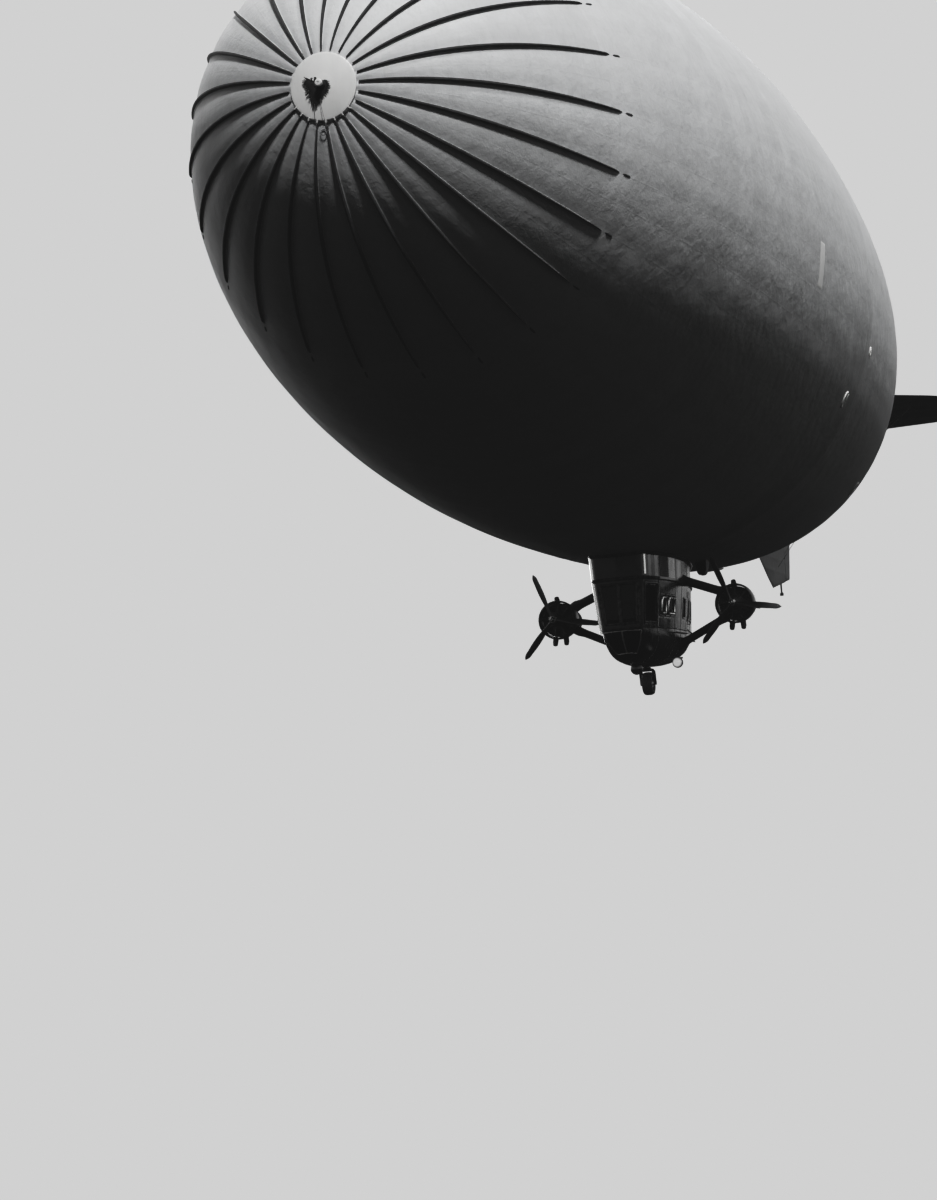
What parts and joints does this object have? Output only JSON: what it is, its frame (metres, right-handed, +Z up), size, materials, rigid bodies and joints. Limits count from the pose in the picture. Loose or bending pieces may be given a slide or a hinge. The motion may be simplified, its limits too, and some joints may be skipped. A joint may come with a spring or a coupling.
{
  "type": "non-rigid patrol airship with control car, half-scale model",
  "caption": "Blimp with battened nose, cruciform tail, hollow control car, ring-cowled outrigger engines, castering landing wheel and air scoops",
  "frame": {"origin": "on the hull axis at the centre of lift, the point that the air holds up (mount lift)", "axes": "+X forward to the nose, +Y to port, +Z up"},
  "size_m": [38.5203, 8.95, 11.175],
  "materials": {
    "envelope_dope": "silver doped fabric, satin",
    "cap_silver": "pale silver paint, satin",
    "batten_dark": "dark grey paint, satin",
    "steel": "bare steel",
    "boot_canvas": "dark canvas",
    "fin_dope": "silver-grey doped fabric, weathered",
    "dark_steel": "dark enamel on steel",
    "car_paint": "grey paint, semi-gloss",
    "floor_board": "painted boards",
    "glass": "clear panes",
    "console_paint": "matt black paint",
    "seat_leather": "dark leather",
    "dark_paint": "black paint, satin",
    "engine_metal": "oily cast metal",
    "hub_metal": "cast aluminium",
    "tyre": "black rubber",
    "lamp_white": "white globe"
  },
  "bodies": {
    "hull": {"envelope": "envelope_dope", "nose_cap": "cap_silver", "nose_battens": "batten_dark", "mooring_spindle": "steel", "mooring_boot": "boot_canvas", "fin_upper": "fin_dope", "fin_lower": "fin_dope", "fin_port": "fin_dope", "fin_starboard": "fin_dope", "tail_skid": "dark_steel", "car_bow": "car_paint", "windscreen": "glass", "chin_window": "glass", "car_belly": "car_paint", "car_stern": "car_paint", "car_roof": "car_paint", "car_floor": "floor_board", "windows_forward_port": "glass", "windows_aft_port": "glass", "windows_forward_starboard": "glass", "windows_aft_starboard": "glass", "car_side_port": "car_paint", "car_side_starboard": "car_paint", "console": "console_paint", "seat_port": "seat_leather", "seat_starboard": "seat_leather", "nacelle_port": "car_paint", "cowl_ring_port": "dark_paint", "engine_port": "engine_metal", "outrigger_upper_port": "car_paint", "outrigger_lower_port": "car_paint", "nacelle_starboard": "car_paint", "cowl_ring_starboard": "dark_paint", "engine_starboard": "engine_metal", "outrigger_upper_starboard": "car_paint", "outrigger_lower_starboard": "car_paint", "gear_leg": "dark_steel", "landing_lamp": "lamp_white", "aerial_pod": "dark_paint", "side_light": "dark_paint", "air_scoop_port": "car_paint", "air_scoop_starboard": "car_paint"},
    "upper_rudder": {"rudder_upper": "fin_dope"},
    "lower_rudder": {"rudder_lower": "fin_dope"},
    "port_elevator": {"elevator_port": "fin_dope"},
    "starboard_elevator": {"elevator_starboard": "fin_dope"},
    "port_propeller": {"propeller_port": "dark_paint"},
    "starboard_propeller": {"propeller_starboard": "dark_paint"},
    "caster": {"wheel_fork": "dark_steel"},
    "wheel": {"wheel_hub": "hub_metal", "tyre": "tyre"},
    "door": {"car_door": "car_paint", "door_pane": "glass"}
  },
  "joints": [
    {"name": "rudder_upper_hinge", "type": "hinge", "parent": "hull", "child": "upper_rudder", "pos_m": [-18.275, 0, 2.9], "axis": [0, 0, 1], "range_deg": [-25, 25]},
    {"name": "rudder_lower_hinge", "type": "hinge", "parent": "hull", "child": "lower_rudder", "pos_m": [-17.35, 0, -2.85], "axis": [0, 0, 1], "range_deg": [-25, 25]},
    {"name": "elevator_port_hinge", "type": "hinge", "parent": "hull", "child": "port_elevator", "pos_m": [-18.275, 2.9, 0], "axis": [0, 1, 0], "range_deg": [-25, 25]},
    {"name": "elevator_starboard_hinge", "type": "hinge", "parent": "hull", "child": "starboard_elevator", "pos_m": [-18.275, -2.9, 0], "axis": [0, 1, 0], "range_deg": [-25, 25]},
    {"name": "propeller_port_spin", "type": "hinge", "parent": "hull", "child": "port_propeller", "pos_m": [1.84, 1.565, -5.25], "axis": [1, 0, 0], "continuous": true},
    {"name": "propeller_starboard_spin", "type": "hinge", "parent": "hull", "child": "starboard_propeller", "pos_m": [1.84, -1.565, -5.25], "axis": [1, 0, 0], "continuous": true},
    {"name": "wheel_caster", "type": "hinge", "parent": "hull", "child": "caster", "pos_m": [1.8, 0, -6.25], "axis": [0, 0, 1], "continuous": true},
    {"name": "wheel_spin", "type": "hinge", "parent": "caster", "child": "wheel", "pos_m": [1.75, 0, -6.5], "axis": [0, 1, 0], "continuous": true},
    {"name": "door_hinge", "type": "hinge", "parent": "hull", "child": "door", "pos_m": [0.27775, 0.5355, -5.2], "axis": [0, -0.113, -0.9936], "range_deg": [0, 110]}
  ],
  "couplings": [
    {"joint": "rudder_lower_hinge", "follows": "rudder_upper_hinge", "ratio": 1},
    {"joint": "elevator_starboard_hinge", "follows": "elevator_port_hinge", "ratio": 1}
  ]
}
